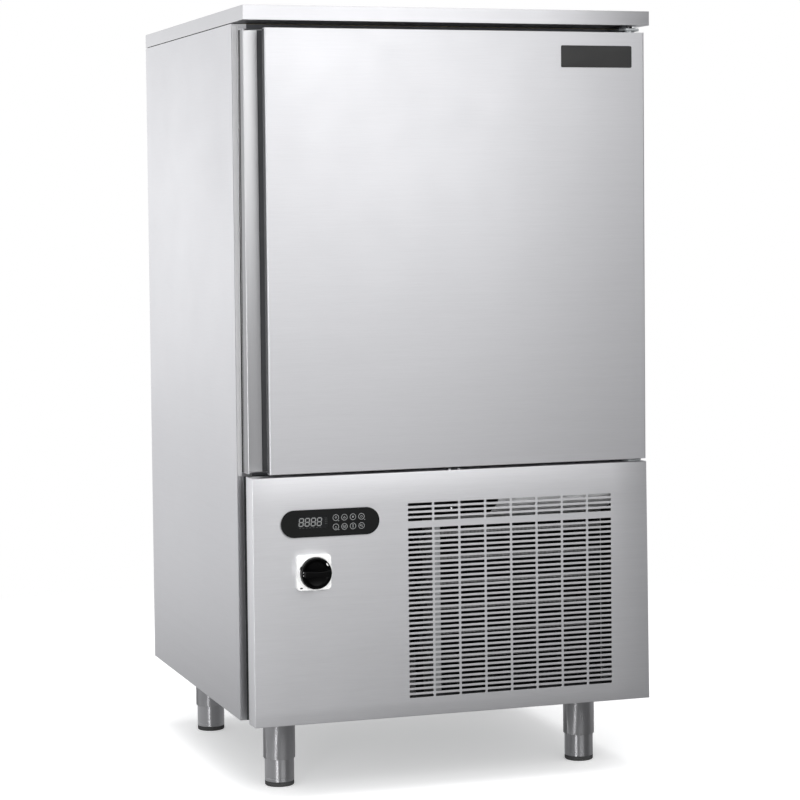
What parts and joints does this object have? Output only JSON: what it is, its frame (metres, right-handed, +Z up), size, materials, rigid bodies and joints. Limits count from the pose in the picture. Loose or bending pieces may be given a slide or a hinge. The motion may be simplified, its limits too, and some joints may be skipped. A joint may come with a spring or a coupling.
{
  "type": "blast chiller",
  "caption": "Upright stainless blast chiller: pivot-hung door with full-height grip, tray chamber, slotted lower panel over a condensing unit, controls and adjustable legs.",
  "frame": {"origin": "on the floor under the middle of the outer box, which runs from the switch knob in front to the back of the cabinet", "axes": "+X to the right as seen from the front, +Y from the front to the back, +Z up; the door faces -Y"},
  "size_m": [0.78, 0.8098, 1.426],
  "materials": {
    "stainless": "satin",
    "bright_stainless": "satin",
    "galvanised": "matte",
    "aluminium": "satin",
    "dark_plastic": "matte",
    "black_plastic": "satin",
    "white_plastic": "satin",
    "rubber": "matte",
    "foam": "matte",
    "smoked_window": "gloss",
    "black_steel": "satin"
  },
  "bodies": {
    "cabinet": {"top_cover": "stainless", "side_panel_left": "stainless", "side_panel_right": "stainless", "back_panel": "stainless", "rear_grille": "stainless", "base_pan": "galvanised", "chamber_insulation": "foam", "chamber_liner": "stainless", "front_frame": "dark_plastic", "rack_left": "bright_stainless", "rack_right": "bright_stainless", "fan_deflector": "stainless", "evaporator_coil": "aluminium", "fan_guard_lower": "bright_stainless", "fan_guard_upper": "bright_stainless", "front_panel": "stainless", "panel_carrier": "galvanised", "control_fascia": "black_plastic", "display_window": "smoked_window", "control_box": "dark_plastic", "switch_plate": "white_plastic", "switch_body": "dark_plastic", "hinge_bracket_top": "galvanised", "hinge_bracket_bottom": "galvanised", "compressor": "black_steel", "condenser_coil": "aluminium", "condenser_shroud": "galvanised", "condenser_motor": "black_steel", "liquid_receiver": "black_steel", "cable_gland": "black_plastic", "leg_sleeve_front_left": "stainless", "leg_sleeve_front_right": "stainless", "leg_sleeve_rear_left": "stainless", "leg_sleeve_rear_right": "stainless"},
    "door": {"door_skin": "stainless", "door_handle": "bright_stainless", "finger_recess": "dark_plastic", "door_foam": "foam", "door_pan": "stainless", "door_gasket": "rubber"},
    "main_switch": {"switch_knob": "black_plastic"},
    "key_1": {"key_1": "black_plastic"},
    "key_2": {"key_2": "black_plastic"},
    "key_3": {"key_3": "black_plastic"},
    "key_4": {"key_4": "black_plastic"},
    "key_5": {"key_5": "black_plastic"},
    "key_6": {"key_6": "black_plastic"},
    "key_7": {"key_7": "black_plastic"},
    "key_8": {"key_8": "black_plastic"},
    "condenser_fan": {"condenser_fan": "black_plastic"},
    "evaporator_fan_lower": {"evaporator_fan_lower": "black_plastic"},
    "evaporator_fan_upper": {"evaporator_fan_upper": "black_plastic"},
    "foot_front_left": {"leg_adjuster_front_left": "stainless", "leg_pad_front_left": "rubber"},
    "foot_front_right": {"leg_adjuster_front_right": "stainless", "leg_pad_front_right": "rubber"},
    "foot_rear_left": {"leg_adjuster_rear_left": "stainless", "leg_pad_rear_left": "rubber"},
    "foot_rear_right": {"leg_adjuster_rear_right": "stainless", "leg_pad_rear_right": "rubber"}
  },
  "joints": [
    {"name": "door_hinge", "type": "hinge", "parent": "cabinet", "child": "door", "pos_m": [0.36, -0.35105, 0.9895], "axis": [0, 0, 1], "range_deg": [0, 110]},
    {"name": "main_switch_turn", "type": "hinge", "parent": "cabinet", "child": "main_switch", "pos_m": [-0.2715, -0.39505, 0.414], "axis": [0, 1, 0], "range_deg": [0, 90]},
    {"name": "key_1_press", "type": "slide", "parent": "cabinet", "child": "key_1", "axis": [0, 1, 0], "range_m": [0, 0.0006], "stiffness_N_per_m": 900, "springref_m": -0.0004},
    {"name": "key_2_press", "type": "slide", "parent": "cabinet", "child": "key_2", "axis": [0, 1, 0], "range_m": [0, 0.0006], "stiffness_N_per_m": 900, "springref_m": -0.0004},
    {"name": "key_3_press", "type": "slide", "parent": "cabinet", "child": "key_3", "axis": [0, 1, 0], "range_m": [0, 0.0006], "stiffness_N_per_m": 900, "springref_m": -0.0004},
    {"name": "key_4_press", "type": "slide", "parent": "cabinet", "child": "key_4", "axis": [0, 1, 0], "range_m": [0, 0.0006], "stiffness_N_per_m": 900, "springref_m": -0.0004},
    {"name": "key_5_press", "type": "slide", "parent": "cabinet", "child": "key_5", "axis": [0, 1, 0], "range_m": [0, 0.0006], "stiffness_N_per_m": 900, "springref_m": -0.0004},
    {"name": "key_6_press", "type": "slide", "parent": "cabinet", "child": "key_6", "axis": [0, 1, 0], "range_m": [0, 0.0006], "stiffness_N_per_m": 900, "springref_m": -0.0004},
    {"name": "key_7_press", "type": "slide", "parent": "cabinet", "child": "key_7", "axis": [0, 1, 0], "range_m": [0, 0.0006], "stiffness_N_per_m": 900, "springref_m": -0.0004},
    {"name": "key_8_press", "type": "slide", "parent": "cabinet", "child": "key_8", "axis": [0, 1, 0], "range_m": [0, 0.0006], "stiffness_N_per_m": 900, "springref_m": -0.0004},
    {"name": "condenser_fan_spin", "type": "hinge", "parent": "cabinet", "child": "condenser_fan", "pos_m": [0.155, -0.18075, 0.312], "axis": [0, 1, 0], "continuous": true},
    {"name": "evaporator_fan_lower_spin", "type": "hinge", "parent": "cabinet", "child": "evaporator_fan_lower", "pos_m": [0, 0.18565, 0.837], "axis": [0, 1, 0], "continuous": true},
    {"name": "evaporator_fan_upper_spin", "type": "hinge", "parent": "cabinet", "child": "evaporator_fan_upper", "pos_m": [0, 0.18565, 1.157], "axis": [0, 1, 0], "continuous": true},
    {"name": "foot_front_left_adjust", "type": "slide", "parent": "cabinet", "child": "foot_front_left", "axis": [0, 0, -1], "range_m": [-0.02, 0.03]},
    {"name": "foot_front_right_adjust", "type": "slide", "parent": "cabinet", "child": "foot_front_right", "axis": [0, 0, -1], "range_m": [-0.02, 0.03]},
    {"name": "foot_rear_left_adjust", "type": "slide", "parent": "cabinet", "child": "foot_rear_left", "axis": [0, 0, -1], "range_m": [-0.02, 0.03]},
    {"name": "foot_rear_right_adjust", "type": "slide", "parent": "cabinet", "child": "foot_rear_right", "axis": [0, 0, -1], "range_m": [-0.02, 0.03]}
  ]
}
